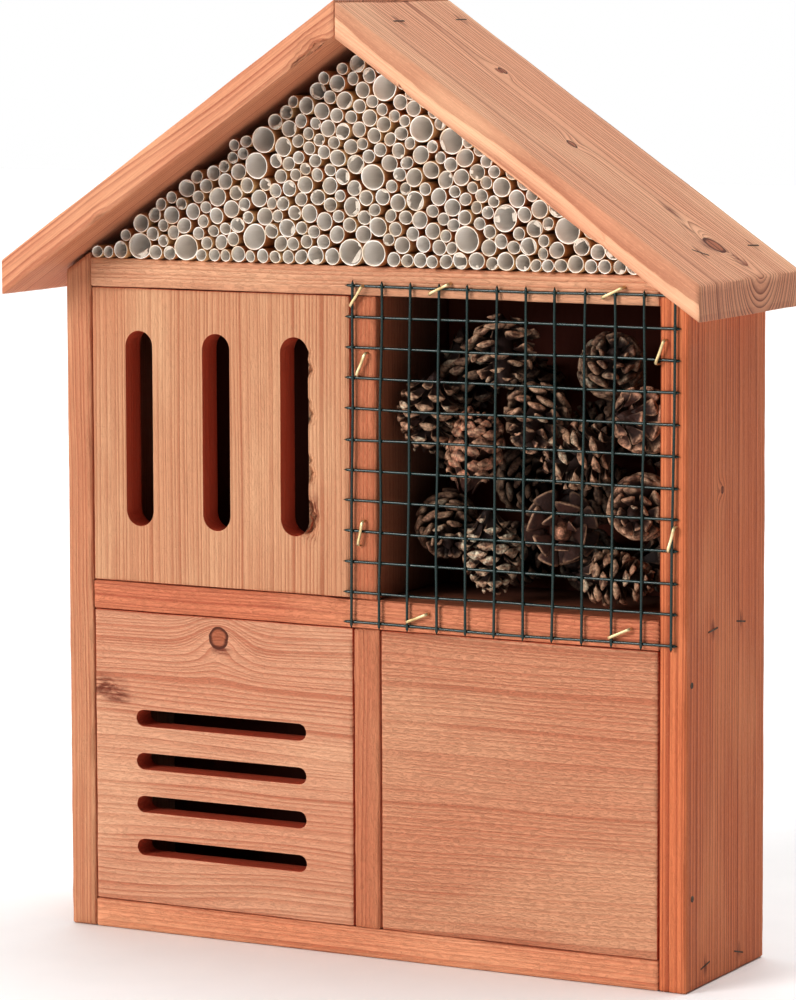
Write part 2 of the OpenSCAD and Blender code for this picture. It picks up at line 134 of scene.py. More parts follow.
def skin_corners(count, rings, sides):
    """Corner numbers for `count` closed skins. The first and last ring of each are poles, held by one
    point."""
    numbers = np.arange(count * rings * sides).reshape(count, rings, sides)
    numbers[:, 0] = numbers[:, 0, :1]
    numbers[:, -1] = numbers[:, -1, :1]
    beside = np.roll(numbers, -1, axis=2)
    squares = [numbers[:, :-1], numbers[:, 1:], beside[:, 1:], beside[:, :-1]]
    return np.stack(squares, -1).reshape(-1, 4)


def ripple(points, seed, wave, count=10):
    """Smooth unevenness between about -1 and 1: the mean of sine waves of about one length, in random
    directions."""
    rng = np.random.default_rng(seed)
    heading = rng.normal(size=(count, 3))
    heading /= np.linalg.norm(heading, axis=1, keepdims=True)
    pace = 2 * pi / (np.asarray(wave) * rng.uniform(0.7, 1.5, (count, 1)))
    return np.sin(points @ (heading * pace).T + rng.uniform(0, 2 * pi, count)).mean(1) * 2.2


def islands(node):
    """The corner points of each separate solid in a CAD node. Corners in one place get one number, and
    the lowest number spreads over the triangles that share corners, until nothing changes."""
    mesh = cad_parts[node].data
    flat = np.zeros(len(mesh.vertices) * 3, np.float32)
    mesh.vertices.foreach_get("co", flat)
    places, corner = np.unique(np.round(flat.reshape(-1, 3), 6), axis=0, return_inverse=True)
    loops = np.zeros(len(mesh.loops), np.int32)
    mesh.loops.foreach_get("vertex_index", loops)
    triangles = corner.reshape(-1)[loops].reshape(-1, 3)
    label = np.arange(len(places))
    while True:
        spread = label.copy()
        for side in range(3):
            np.minimum.at(spread, triangles[:, side], label[triangles].min(1))
        spread = spread[spread]
        if (spread == label).all():
            return [places[label == k] for k in np.unique(label)]
        label = spread


# %% [markdown]
# ## Node helpers
# A material is a small machine: values flow from node to node into the shader. `node` adds one and plugs
# its inputs, each a number, a colour or another node's output, and `calc` adds a sum. `times`, `plus` and
# `layer` are short forms of the commonest ones.

# %% Material helpers
def node(tree, kind, inputs=None, **settings):
    """Adds a node of that kind, with its settings, and fills or plugs its inputs by name or number."""
    made = tree.nodes.new("ShaderNode" + kind)
    for key, value in settings.items():
        setattr(made, key, value)
    for key, value in (inputs or {}).items():
        if isinstance(value, bpy.types.NodeSocket):
            tree.links.new(value, made.inputs[key])
        else:
            made.inputs[key].default_value = value
    return made


def calc(tree, operation, *values):
    return node(tree, "Math", dict(enumerate(values)), operation=operation).outputs[0]


def times(tree, first, second):
    return calc(tree, "MULTIPLY", first, second)


def plus(tree, first, second):
    return calc(tree, "ADD", first, second)


def attribute(tree, name):
    """The value that the mesh carries under that name."""
    return node(tree, "Attribute", attribute_name=name).outputs["Fac"]


def noise(tree, vector, scale, detail=2.0, roughness=0.5):
    """Noise between 0 and 1 on a vector stretched by `scale`, so a large number gives a fine pattern."""
    stretched = node(tree, "VectorMath", {0: vector, 1: scale}, operation="MULTIPLY").outputs[0]
    inputs = {"Vector": stretched, "Scale": 1.0, "Detail": detail, "Roughness": roughness}
    return node(tree, "TexNoise", inputs).outputs[0]


def mix(tree, share, first, second):
    """The first colour where the share is 0 and the second where it is 1."""
    made = node(tree, "Mix", data_type="RGBA")
    for key, value in ((0, share), (6, first), (7, second)):
        if isinstance(value, bpy.types.NodeSocket):
            tree.links.new(value, made.inputs[key])
        else:
            made.inputs[key].default_value = value
    return made.outputs[2]


def layer(tree, base, over, share, strength):
    """Lays a colour over the base by the given share, which is first multiplied by the strength."""
    return mix(tree, times(tree, share, strength), base, over)


def ramp(tree, value, *stops):
    """A smooth change of grey over the stops (place, brightness)."""
    made = node(tree, "ValToRGB", {0: value})
    line = made.color_ramp
    while len(line.elements) < len(stops):
        line.elements.new(1)
    for element, (place, grey) in zip(line.elements, stops):
        element.position = place
        element.color = (grey, grey, grey, 1)
    return made.outputs[0]


def start_material(name):
    """A material with an empty tree, its shader and the place of each point on the object."""
    made = bpy.data.materials.new(name)
    made.use_nodes = True
    tree = made.node_tree
    tree.nodes.clear()
    shader = node(tree, "BsdfPrincipled")
    node(tree, "OutputMaterial", {0: shader.outputs[0]})
    place = node(tree, "TexCoord")
    return made, tree, shader, place


def finish_shader(tree, shader, base, rough, height, depth, strength=0.6):
    tree.links.new(base, shader.inputs["Base Color"])
    tree.links.new(rough, shader.inputs["Roughness"])
    bump = node(tree, "Bump", {"Height": height, "Distance": depth, "Strength": strength})
    tree.links.new(bump.outputs[0], shader.inputs["Normal"])


# %% [markdown]
# ## Larch
# A tree is a bundle of thin cones, one for each year, around its pith. A board is cut out of that bundle,
# so the honest way to draw grain is to keep the tree in mind: each board has its own line for the pith,
# beside it or inside it, and a point's distance from that line says which ring it is in. Faces then show
# stripes and pointed arches, and ends show arcs, all from one rule. Each ring goes slowly from pale early
# wood to a dark, hard line of late wood. A knot is a branch: it has darker wood and a dark rim of its
# own, and it pushes the rings aside.

# %% Board axes
X, Y, Z = np.eye(3)
ROOF_PITCH = radians(34.2)
BOARD = 12 * MM


class Lie:
    """How a board lies: its middle, and the directions along its grain, across it and through its
    thickness."""

    def __init__(self, middle, grain, across):
        self.middle = np.array(middle, float)
        self.axes = np.column_stack([grain, across, np.cross(grain, across)])

    def inside(self, point):
        return (np.asarray(point, float) - self.middle) @ self.axes

    def outside(self, points):
        return points @ self.axes.T + self.middle


# %% Larch material
KNOT_WOOD, KNOT_RIM, CRACK = colour(168, 92, 60), colour(84, 38, 24), colour(48, 22, 15)
END_EARLY, END_LATE = colour(206, 140, 108), colour(112, 54, 38)
SCORCH_AND_SLOT_SHADE, TORN_WOOD, DEEP_SHADE = colour(206, 88, 56), colour(118, 50, 28), colour(56, 22, 15)


def turned_to(tree, place, axis):
    """How squarely a surface faces along an axis, either way: 1 when it faces it and 0 when it lies along
    it."""
    normal = place.outputs["Normal"]
    facing = node(tree, "VectorMath", {0: normal, 1: axis}, operation="DOT_PRODUCT").outputs["Value"]
    return calc(tree, "ABSOLUTE", facing)


def face_distance(tree, part, spot, stretch=1.0):
    """How far a point lies from a spot on the face, both squeezed along the grain by `stretch`."""
    flat = node(tree, "CombineXYZ", {0: times(tree, part[0], stretch), 1: part[1]}).outputs[0]
    middle = (spot[0] * stretch, spot[1], 0)
    return node(tree, "VectorMath", {0: flat, 1: middle}, operation="DISTANCE").outputs["Value"]


def larch(name, lie, pith, ring, early, late, knots=(), sawn=0.0, seed=0, wander=6.0, routed=False,
          scars=(), painted_shade=0.0):
    """Larch for one board, in millimetres. `pith` is the pith's place across and through the board,
    `ring` the width of a year, `knots` are (x, y, z, radius), `wander` is how far the tree grew out of
    true, and `sawn` is how much fuzz the saw left, 0 to 1. A `routed` board has redder faces across its
    thickness, on the walls of its slots and on its edges: partly scorch from the cutter and partly painted
    shade, the red of the shade inside the slots. It has no crack in its knots. `scars` are torn, dark
    places as (x, y, z, size), and the last argument is painted shade: how far the wood is darkened
    towards the back, for the deep shade of the chamber."""
    made, tree, shader, place = start_material(name)
    turn = Matrix(lie.axes.tolist()).to_euler()
    board = node(tree, "Mapping", {"Vector": place.outputs["Object"], "Location": lie.middle,
                                   "Rotation": turn}, vector_type="TEXTURE").outputs[0]
    drift = node(tree, "VectorMath", {0: board, 1: (seed * 0.37, seed * 0.61, seed * 0.23)}, operation="ADD")
    drift = drift.outputs[0]
    sway = times(tree, calc(tree, "SUBTRACT", noise(tree, drift, (4, 15, 15), 2), 0.5), wander * MM)
    part = node(tree, "SeparateXYZ", {0: board}).outputs
    across = plus(tree, calc(tree, "SUBTRACT", part[1], pith[0] * MM), sway)
    through = plus(tree, calc(tree, "SUBTRACT", part[2], pith[1] * MM), sway)
    radius = calc(tree, "SQRT", plus(tree, times(tree, across, across), times(tree, through, through)))
    knot_share, knot_rings, cracks = 0.0, 0.0, 0.0
    for x, y, z, size in knots:
        spot = lie.inside(np.array([x, y, z]) * MM)
        away = plus(tree, face_distance(tree, part, spot), times(tree, sway, 0.35))
        outline = calc(tree, "SUBTRACT", noise(tree, drift, (90, 150, 150), 2), 0.5)
        away = plus(tree, away, times(tree, outline, 0.6 * size * MM))
        scaled = calc(tree, "DIVIDE", away, size * MM)
        bulge = calc(tree, "EXPONENT", times(tree, times(tree, scaled, scaled), -0.16))
        radius = plus(tree, radius, times(tree, bulge, -1.9 * size * MM))
        knot_share = plus(tree, knot_share, ramp(tree, scaled, (0.92, 1.0), (1.0, 0.0)))
        rim = ramp(tree, scaled, (0.62, 0.0), (0.8, 1.0), (0.97, 1.0), (1.0, 0.0))
        knot_rings = plus(tree, knot_rings, rim)
        if not routed:
            split = calc(tree, "ABSOLUTE", plus(tree, calc(tree, "SUBTRACT", part[1], spot[1]), sway))
            split = ramp(tree, calc(tree, "DIVIDE", split, 0.5 * MM), (0.3, 1.0), (0.9, 0.0))
            split = times(tree, split, ramp(tree, scaled, (0.6, 1.0), (0.95, 0.0)))
            cracks = plus(tree, cracks, split)
    years = calc(tree, "DIVIDE", radius, ring * MM)
    good_years = node(tree, "TexNoise", {"W": years, "Scale": 0.43, "Detail": 1.0}, noise_dimensions="1D")
    years = plus(tree, years, times(tree, good_years.outputs[0], 2.2))
    season = calc(tree, "FRACT", years)
    late_wood = ramp(tree, season, (0.0, 0.5), (0.08, 0.0), (0.42, 0.1), (0.74, 0.6), (0.9, 1.0))
    year_tone = node(tree, "TexWhiteNoise", {"W": calc(tree, "FLOOR", years)}, noise_dimensions="1D")
    late_wood = times(tree, late_wood, calc(tree, "MULTIPLY_ADD", year_tone.outputs[0], 0.5, 0.6))
    fibre = noise(tree, drift, (30, 1700, 1700), 3, 0.65)
    pores = noise(tree, drift, (200, 4200, 4200), 2, 0.6)
    fuzz = noise(tree, drift, (320, 1700, 1700), 4, 0.7)
    cloud = noise(tree, drift, (9, 34, 34), 3)
    base = mix(tree, late_wood, colour(*early), colour(*late))
    deeper = tuple(v * 0.66 for v in colour(*late)[:3]) + (1,)
    base = layer(tree, base, deeper, ramp(tree, fibre, (0.42, 0.0), (0.72, 1.0)), 0.4)
    raised = ramp(tree, fuzz, (0.5, 0.0), (0.66, 1.0))
    base = layer(tree, base, colour(*(v + 22 for v in early)), raised, 0.15 + 0.35 * sawn)
    torn = ramp(tree, fuzz, (0.3, 1.0), (0.43, 0.0))
    base = layer(tree, base, deeper, torn, 0.12 + 0.07 * sawn)
    redder = colour(early[0] - 10, early[1] - 28, early[2] - 28)
    base = layer(tree, base, redder, ramp(tree, cloud, (0.35, 0.0), (0.7, 1.0)), 0.34)
    lighter = colour(early[0] + 8, early[1] + 12, early[2] + 10)
    base = layer(tree, base, lighter, ramp(tree, cloud, (0.34, 1.0), (0.5, 0.0)), 0.4)
    end_grain = ramp(tree, turned_to(tree, place, lie.axes[:, 0]), (0.55, 0.0), (0.9, 1.0))
    base = layer(tree, base, mix(tree, late_wood, END_EARLY, END_LATE), end_grain, 0.8)
    # Partly scorch and partly painted shade: the faces across the thickness, the slot walls and the edges,
    # turn redder for the red shade inside the slots.
    if routed:
        wall = ramp(tree, turned_to(tree, place, lie.axes[:, 2]), (0.3, 0.85), (0.8, 0.0))
        base = mix(tree, wall, base, SCORCH_AND_SLOT_SHADE)
    if scars:
        shreds = ramp(tree, noise(tree, drift, (120, 620, 620), 3, 0.6), (0.4, 0.1), (0.58, 1.0))
    for x, y, z, size in scars:
        away = face_distance(tree, part, lie.inside(np.array([x, y, z]) * MM), 0.5)
        scar = ramp(tree, calc(tree, "DIVIDE", away, size * MM), (0.2, 1.0), (1.0, 0.0))
        base = layer(tree, base, TORN_WOOD, times(tree, scar, shreds), 0.9)
    # Painted shade: the wood is darkened towards the back of the house, for the deep shade in the chamber.
    if painted_shade:
        inwards = node(tree, "SeparateXYZ", {0: place.outputs["Object"]}).outputs[1]
        inwards = calc(tree, "MULTIPLY_ADD", inwards, 16.0, 0.4)
        base = layer(tree, base, DEEP_SHADE, ramp(tree, inwards, (0.0, 0.0), (0.55, 0.8), (1.0, 1.0)), painted_shade)
    if knots:
        base = layer(tree, base, KNOT_WOOD, knot_share, 0.8)
        base = layer(tree, base, KNOT_RIM, knot_rings, 0.85)
        base = layer(tree, base, CRACK, cracks, 0.9)
    marks = noise(tree, drift, (520, 26, 90), 3, 0.6)
    height = plus(tree, times(tree, late_wood, 0.45), times(tree, fibre, 0.35))
    height = plus(tree, height, times(tree, pores, 0.3))
    height = plus(tree, height, times(tree, marks, 0.4 * sawn))
    height = plus(tree, height, times(tree, raised, 0.2 + 1.1 * sawn))
    rough = calc(tree, "MULTIPLY_ADD", fibre, 0.22, 0.5)
    finish_shader(tree, shader, base, rough, height, (0.35 + 0.15 * sawn) * MM, 0.7)
    shader.inputs["Specular IOR Level"].default_value = 0.3
    return made


# %% [markdown]
# ## A board
# A board is a block of grid lines in three directions, of which only the outer squares are used. Its
# edges are eased: a point near an edge is pulled onto a quarter circle. Nothing sawn and nailed by hand
# is quite flat, so a slow ripple of a tenth of a millimetre runs over the faces, the edges are worn more
# in some places than others, and chips bite into them. A slot is a rectangle of squares left out, with
# walls between the two faces; its square ends are then pulled round, and the pull fades out over the
# neighbouring squares.

# %% Board surface
def grid_lines(length, ease, step, cuts=()):
    """Places of the grid lines along one side: close together on the eased edges and at the given
    cuts."""
    half = length / 2
    fine = np.array([0, 0.3, 0.7]) * ease
    inner = np.linspace(ease - half, half - ease, max(2, round((length - 2 * ease) / step) + 1))
    cuts = np.asarray(cuts, float)
    if len(cuts):
        inner = inner[np.abs(inner[:, None] - cuts).min(1) > 0.3 * step]
    return np.unique(np.round(np.concatenate([fine - half, inner, cuts, half - fine]), 7))


def block_side(shape, axis, index, spans, outward):
    """Squares on one grid plane of a block, over the given spans of the two other axes."""
    first, second = (axis + 1) % 3, (axis + 2) % 3
    p, q = np.meshgrid(np.arange(*spans[first]), np.arange(*spans[second]), indexing="ij")
    corners = []
    for dp, dq in ((0, 0), (1, 0), (1, 1), (0, 1)):
        at = [None, None, None]
        at[axis], at[first], at[second] = np.full(p.shape, index), p + dp, q + dq
        corners.append(np.ravel_multi_index(at, shape))
    squares = np.stack(corners, -1).reshape(-1, 4)
    return squares if outward else squares[:, ::-1]


def slot_pull(grid, slot, depth, ease):
    """Rounds the rectangle around a slot. A point's square distance from the slot's middle line becomes a
    true distance near the slot, and its old place is blended back in by twice the slot's half width."""
    mid_l, mid_w, half_l, half_w = slot
    u, v = grid[:, 0] - mid_l, grid[:, 1] - mid_w
    flipped = half_l < half_w
    if flipped:
        u, v, half_l, half_w = v, u, half_w, half_l
    line = np.clip(u, half_w - half_l, half_l - half_w)
    past = u - line
    square = np.maximum(np.abs(past), np.abs(v))
    share = np.clip(2 - square / half_w, 0, 1)
    share = share * share * (3 - 2 * share) * (square > half_w * 0.99)
    inward = np.clip(1 - depth / ease, 0, 1)
    wider = ease * (1 - np.sqrt(1 - inward**2))
    stretch = (square + wider) / np.maximum(np.hypot(past, v), 1e-9)
    u = u + share * (past * stretch - past)
    v = v + share * (v * stretch - v)
    if flipped:
        u, v = v, u
    return np.column_stack([u + mid_l, v + mid_w, grid[:, 2]])


def slot_cuts(slots, side):
    """Grid lines that the slots need along one side: at both ends, and one end radius inside each of
    them."""
    cuts = []
    for slot in slots:
        mid, half, end = slot[side], slot[side + 2], min(slot[2:])
        cuts += [mid - half, mid - half + end, mid + half - end, mid + half]
    return sorted(set(np.round(cuts, 6)))


def board(node_name, lie, size, material, slot_name="larch_frame", skew=(0, 0), slots=(), chips=(), step=2.2,
          ease=0.8, wear=0.3, seed=0):
    """A sawn board, `size` long, wide and thick along its lie. `skew` slants its two ends through the
    thickness, `slots` are (along, across, half length, half width) and `chips` are (x, y, z, radius,
    depth)."""
    ease = ease * MM
    step = step * MM
    lines = [grid_lines(size[0], ease, step, slot_cuts(slots, 0)),
             grid_lines(size[1], ease, step, slot_cuts(slots, 1)), grid_lines(size[2], ease, step)]
    shape = tuple(len(line) for line in lines)
    full = [(0, n - 1) for n in shape]
    corners = []
    for axis in range(3):
        for index in (0, shape[axis] - 1):
            squares = block_side(shape, axis, index, full, index > 0)
            if axis == 2:
                along, aside, _ = np.unravel_index(squares, shape)
                mid = lines[0][along].mean(1), lines[1][aside].mean(1)
                for mid_l, mid_w, half_l, half_w in slots:
                    open_square = (np.abs(mid[0] - mid_l) < half_l) & (np.abs(mid[1] - mid_w) < half_w)
                    squares = squares[~open_square]
                    mid = mid[0][~open_square], mid[1][~open_square]
            corners.append(squares)
    for mid_l, mid_w, half_l, half_w in slots:
        i0, i1 = (int(np.abs(lines[0] - end).argmin()) for end in (mid_l - half_l, mid_l + half_l))
        j0, j1 = (int(np.abs(lines[1] - end).argmin()) for end in (mid_w - half_w, mid_w + half_w))
        spans = [(i0, i1), (j0, j1), full[2]]
        corners += [block_side(shape, 0, i0, spans, True), block_side(shape, 0, i1, spans, False),
                    block_side(shape, 1, j0, spans, True), block_side(shape, 1, j1, spans, False)]
    corners = np.concatenate(corners)
    grid = np.stack(np.meshgrid(*lines, indexing="ij"), -1).reshape(-1, 3)
    used, corners = np.unique(corners, return_inverse=True)
    corners, grid = corners.reshape(-1, 4), grid[used]

    half = np.array(size) / 2
    core = np.clip(grid, ease - half, half - ease)
    reach = grid - core
    far = np.linalg.norm(reach, axis=1, keepdims=True)
    outward = reach / np.maximum(far, 1e-9)
    surface = far[:, 0] > 1e-9
    on_edge = (np.abs(reach) > 1e-7).sum(1) > 1
    points = np.where(surface[:, None], core + outward * ease, grid)
    sunk = 0.09 * MM * (1 + ripple(grid, seed, 38 * MM)) + 0.03 * MM * ripple(grid, seed + 1, 7 * MM)
    sunk += on_edge * wear * MM * (0.5 + 0.5 * ripple(grid, seed + 2, 16 * MM))
    points = points - outward * sunk[:, None]
    depth = half[2] - np.abs(grid[:, 2])
    for slot in slots:
        points = slot_pull(points, slot, depth, 0.5 * MM)
    share = grid[:, 0] / size[0] + 0.5
    points[:, 0] += points[:, 2] * (skew[0] * (1 - share) + skew[1] * share)
    points = lie.outside(points)
    for x, y, z, radius, bite in chips:
        away = np.linalg.norm(points - np.array([x, y, z]) * MM, axis=1) / (radius * MM)
        ragged = 1 + 0.5 * ripple(points, seed + 5, 2.5 * MM)
        points -= (outward @ lie.axes.T) * (bite * MM * ragged * np.exp(-away**3))[:, None]
    make_piece(node_name + "_timber", points, corners, material, [node_name])


# %% [markdown]
# ## The frame of the house
# Two sides, a bottom, a shelf, the floor of the gable and two posts: seven lengths of one board, stapled
# and nailed butt to butt. The sides and posts have their grain upright, and the level boards have it
# level. Each board comes from another part of the tree, so each has its own pith, ring width and tone.
# The right side is redder and deeper partly by its own wood and partly by painted shade for its shaded
# face. The three boards round the cone chamber carry painted shade that darkens them towards the back.

# %% Frame boards
def lie_of(node_name, grain, across):
    """The lie and size of a board that is square to the house, from its CAD box."""
    low, high = (np.array(corner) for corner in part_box(node_name))
    lie = Lie((low + high) / 2, grain, across)
    return lie, np.abs((high - low) @ lie.axes)


def staple_marks(node_name, lie, size, bruise=2.6):
    """Bruised places in a board, in millimetres: the middles of a CAD node's staples that lie within its
    box."""
    middles = np.array([(solid.min(0) + solid.max(0)) / 2 for solid in islands(node_name)])
    here = (np.abs(lie.inside(middles)) < np.array(size) / 2 + 1 * MM).all(1)
    print(node_name, "leaves", here.sum(), "marks")
    return tuple((*(middle / MM), bruise) for middle in middles[here])


SLOPE = tan(ROOF_PITCH)
FRAME_BOARDS = {
    # node: grain, across, pith, ring, early, late, chips
    "bottom_board": (X, Y, (-10, -46), 1.4, (234, 168, 130), (196, 120, 88), ()),
    "middle_shelf": (X, Y, (20, 60), 1.4, (220, 144, 108), (178, 98, 70), ((-12, -25.7, 147, 6, 0.7),)),
    "gable_floor": (X, Y, (-70, 20), 1.4, (226, 176, 142), (196, 130, 98), ()),
    "upper_post": (Z, Y, (30, 50), 1.5, (206, 138, 102), (182, 104, 72), ()),
    "lower_post": (Z, Y, (40, -34), 1.3, (210, 144, 108), (172, 100, 72), ()),
}
# Boards round the cone chamber, which get painted shade towards the back.
CHAMBER_BOARDS = ("upper_post", "middle_shelf", "gable_floor")
for number, (name, row) in enumerate(FRAME_BOARDS.items()):
    grain, across, pith, ring, early, late, chips = row
    lie, size = lie_of(name, grain, across)
    wood = larch("larch_" + name, lie, pith, ring, early, late, sawn=0.5, seed=11 + number,
                 painted_shade=0.9 if name in CHAMBER_BOARDS else 0.0)
    board(name, lie, size, wood, chips=chips, seed=20 + number)

SIDE_BOARDS = {
    # node: lean of its top, pith, ring, early, late, knots
    "left_side": (1, (-60, -24), 1.3, (214, 158, 122), (178, 104, 74), ()),
    # The right side's redder, deeper early and late wood is partly its own colour and partly painted shade,
    # for the side that stands in shade.
    "right_side": (-1, (-75, 60), 1.9, (221, 138, 94), (152, 74, 46), ((142, 8, 196, 1.6),)),
}
for number, (name, row) in enumerate(SIDE_BOARDS.items()):
    lean, pith, ring, early, late, knots = row
    lie, size = lie_of(name, Z, Y)
    fall = SLOPE * BOARD / 2
    lie.middle[2] -= fall / 2
    size[0] -= fall
    wood = larch("larch_" + name, lie, pith, ring, early, late, knots, 0.3, 31 + number,
                 scars=staple_marks("frame_staples", lie, size))
    board(name, lie, size, wood, skew=(0, -lean * SLOPE), seed=40 + number)

# %% [markdown]
# ## The roof
# Two wide boards lie on the gable. They are cut plumb, so their ends slant through the thickness, and
# they meet at the ridge. The right one has three knots, the largest near the eave, with the grain curling
# round it.

# %% Roof boards
ROOF_FRONT = -50.2
ROOF = {
    # node: side, knots, pith, ring, early, late, chips, scars
    "right_roof_board": (1, ((40.4, 15.3, 359, 2.4), (82, -6.3, 331, 3.0), (139.7, 3, 292, 5.2)),
                         (10, 12), 2.3, (248, 194, 158), (150, 80, 54),
                         ((30, ROOF_FRONT, 354, 2.2, 1.0), (118, ROOF_FRONT, 295, 2.4, 0.8)),
                         ((121, 4, 305, 4.4), (130, -1, 299, 3.4), (148, 7, 287, 4.4), (139, -3, 292, 4))),
    "left_roof_board": (-1, (), (-12, -30), 1.4, (228, 168, 132), (184, 112, 84),
                        ((-9, ROOF_FRONT, 369, 6, 2.4), (-16, ROOF_FRONT, 364, 4, 1.2),
                         (-110, ROOF_FRONT, 300, 4, 0.6)), ()),
}
for number, (name, row) in enumerate(ROOF.items()):
    side, knots, pith, ring, early, late, chips, scars = row
    low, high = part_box(name)
    reach = high.x - low.x
    apex = high.z - BOARD / cos(ROOF_PITCH)
    length = reach / cos(ROOF_PITCH)
    grain = np.array([side * cos(ROOF_PITCH), 0, -sin(ROOF_PITCH)])
    lie = Lie((0, (low.y + high.y) / 2, apex), grain, side * Y)
    lie.middle = lie.outside(np.array([length / 2 - BOARD / 2 * SLOPE, 0, BOARD / 2]))
    size = (length, high.y - low.y, BOARD)
    wood = larch("larch_" + name, lie, pith, ring, early, late, knots, 0.15, 51 + number,
                 scars=scars + staple_marks("roof_staples", lie, size))
    board(name, lie, size, wood, "larch_roof", (-SLOPE, -SLOPE), chips=chips, ease=0.5, wear=0.2,
          seed=60 + number)

# %% [markdown]
# ## The front panels
# Three boards close the front. One has three upright slots for butterflies, with its grain upright as
# well. One has four level slots for lacewings and a sound knot with a dark ring of bark above them. The
# third is plain.

# %% Panels
FRONT = -25.4
SCARS = {
    # node: torn, dark places
    "lacewing_panel": ((-125.5, FRONT, 102.6, 7.0), (-119, FRONT, 98.5, 4.5), (-68.5, FRONT, 121.5, 3.0)),
    "butterfly_panel": ((-24.5, FRONT, 183, 4.0),),
}
TORN_EDGE = [(-26.2, FRONT, z, radius, bite) for z, radius, bite in (
    (247, 1.4, 1.2), (240, 2.4, 1.8), (226, 1.6, 1.4), (221, 2.8, 2.2), (203, 1.7, 1.6), (197, 3.0, 2.2),
    (184, 2.2, 1.8), (179, 3.6, 3.4), (174, 3.2, 3.0))]
PANELS = {
    # node: grain, across, pith, ring, early, late, knots, chips, saw marks, slots as (x, z, half x, half z)
    "butterfly_panel": (Z, X, (-85, 34), 1.8, (217, 168, 132), (174, 110, 78), (), TORN_EDGE, 0.3,
                        [(x, 211.95, 6.5, 40.75) for x in (-107.25, -70.25, -33.25)]),
    "lacewing_panel": (X, Z, (-105, -60), 2.0, (224, 172, 140), (188, 118, 88), ((-69.9, FRONT, 127.2, 5.3),),
                       ((-124, FRONT, 102.6, 4, 0.7),), 0.45,
                       [(-69.25, 63.05 + k * 18.2, 40.75, 3.5) for k in (-1.5, -0.5, 0.5, 1.5)]),
    "plain_panel": (X, Z, (-130, -40), 2.3, (216, 160, 127), (188, 120, 90), (), (), 0.65, []),
}
for number, (name, row) in enumerate(PANELS.items()):
    grain, across, pith, ring, early, late, knots, chips, sawn, holes = row
    lie, size = lie_of(name, grain, across)
    slots = []
    for x, z, half_x, half_z in holes:
        along, aside, _ = lie.inside(np.array([x, 0, z]) * MM)
        halves = (half_z, half_x) if grain is Z else (half_x, half_z)
        slots.append((along, aside, halves[0] * MM, halves[1] * MM))
    wood = larch("larch_" + name, lie, pith, ring, early, late, knots, sawn, 71 + number, wander=11.0,
                 routed=True, scars=SCARS.get(name, ()))
    board(name, lie, size, wood, "larch_panel", slots=slots, chips=chips, step=1.6, ease=0.5, wear=0.2,
          seed=80 + number)

# %% [markdown]
# ## The back
# The back is a sheet of plywood, let in between the sides. It has a pocket behind the hanger plate, so
# the CAD solid is kept and takes a plywood finish: rotary-cut veneer with broad, soft figure under the
# same red-brown stain as the larch, and dark and pale plies in turn on its cut edges. Its inner face,
# which shuts off the chambers, carries painted shade: a fixed dark red-brown that stands for the deep
# shade inside them.

# %% Plywood
TWO_PLIES = 3.2 * MM


def plywood():
    made, tree, shader, place = start_material("plywood_back")
    where = place.outputs["Object"]
    part = node(tree, "SeparateXYZ", {0: where}).outputs
    figure = noise(tree, where, (14, 14, 2.2), 4, 0.6)
    bands = calc(tree, "FRACT", times(tree, figure, 11.0))
    fibre = noise(tree, where, (900, 900, 26), 3, 0.6)
    veneer = ramp(tree, bands, (0.0, 0.2), (0.6, 0.5), (1.0, 0.9))
    face = mix(tree, veneer, colour(172, 112, 78), colour(142, 88, 60))
    face = layer(tree, face, colour(118, 70, 46), fibre, 0.35)
    ply = calc(tree, "FRACT", times(tree, part[1], 1 / TWO_PLIES))
    ply = ramp(tree, ply, (0.45, 0.0), (0.5, 1.0), (0.95, 1.0), (1.0, 0.0))
    edge = mix(tree, ply, colour(176, 118, 84), colour(112, 66, 44))
    # Painted shade: the inner face, which faces the front, takes a fixed dark red-brown for the deep shade
    # inside the chambers.
    facing = node(tree, "SeparateXYZ", {0: place.outputs["Normal"]}).outputs[1]
    inner = calc(tree, "MAXIMUM", times(tree, facing, -0.92), 0.0)
    face = mix(tree, inner, face, colour(80, 27, 17))
    base = mix(tree, calc(tree, "ABSOLUTE", facing), edge, face)
    finish_shader(tree, shader, base, calc(tree, "MULTIPLY_ADD", fibre, 0.2, 0.55), fibre, 0.25 * MM)
    shader.inputs["Specular IOR Level"].default_value = 0.12
    return made


def dress(node_name, material):
    """Gives a CAD node its finish, in every material slot that it has."""
    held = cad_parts[node_name]
    for slot in held.material_slots:
        slot.material = material
    print(node_name, "is finished in", material.name)


dress("back_panel", plywood())

# %% [markdown]
# ## Reeds
# The gable is packed with cut canes: about 150 thin ones, 100 middling ones and a few wide ones. Each is
# a turned shape: out along the closed back, forwards along the skin, over the thin rim and back down the
# bore to its joint. None is quite round and none is sawn quite square. A value called `zone` runs along
# that outline, 0 on the tan skin, 1 on the white rim and 2 in the bore, and the finish follows it.

